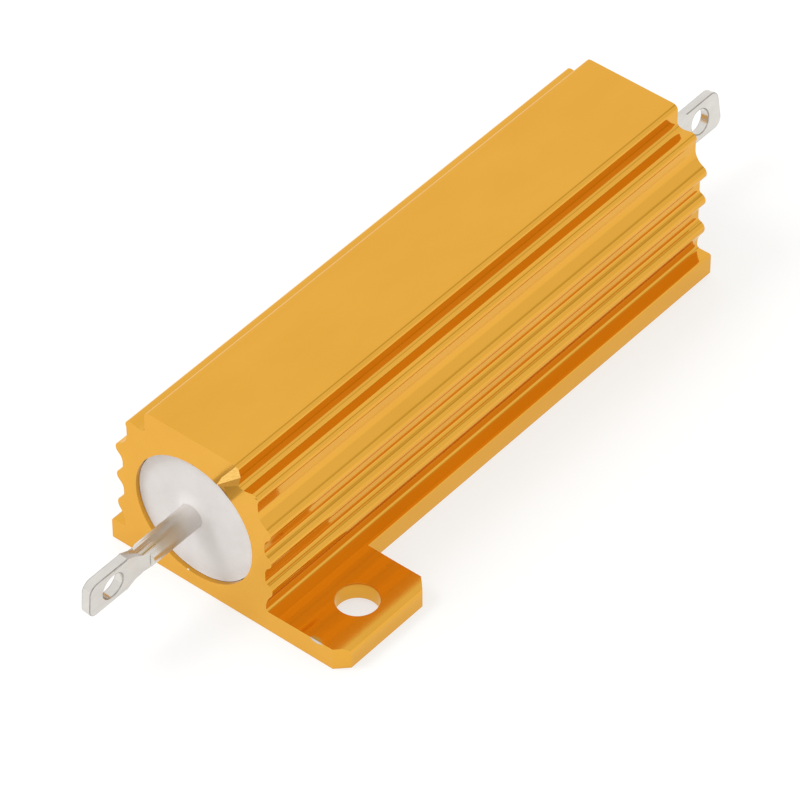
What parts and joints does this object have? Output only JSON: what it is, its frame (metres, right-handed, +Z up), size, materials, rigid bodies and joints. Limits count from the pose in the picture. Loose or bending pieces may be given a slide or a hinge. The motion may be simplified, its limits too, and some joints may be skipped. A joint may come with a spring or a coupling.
{
  "type": "aluminium housed power resistor",
  "caption": "Chassis-mount wirewound power resistor in a finned gold anodised aluminium housing with diagonal mounting lugs and flat blade terminals with wire eyes.",
  "frame": {"origin": "middle of the housing's underside, on the plane it is bolted down on, halfway between the two mounting holes", "axes": "+X along the housing and its terminals towards the far terminal, +Y across the housing, +Z up out of the base"},
  "size_m": [0.0713, 0.0274, 0.0147],
  "materials": {
    "gold_anodised_aluminium": "satin gold anodised, fine die lines",
    "white_cement": "matt, cast silicone cement",
    "steatite": "matt, fired steatite",
    "resistance_wire": "drawn nickel-chromium wire",
    "plated_steel": "pressed and nickel plated",
    "tinned_steel": "tinned, satin"
  },
  "bodies": {
    "root": {"housing": "gold_anodised_aluminium", "insulation": "white_cement", "core": "steatite", "winding": "resistance_wire", "cap_near": "plated_steel", "cap_far": "plated_steel", "terminal_near": "tinned_steel", "terminal_far": "tinned_steel"}
  },
  "joints": []
}
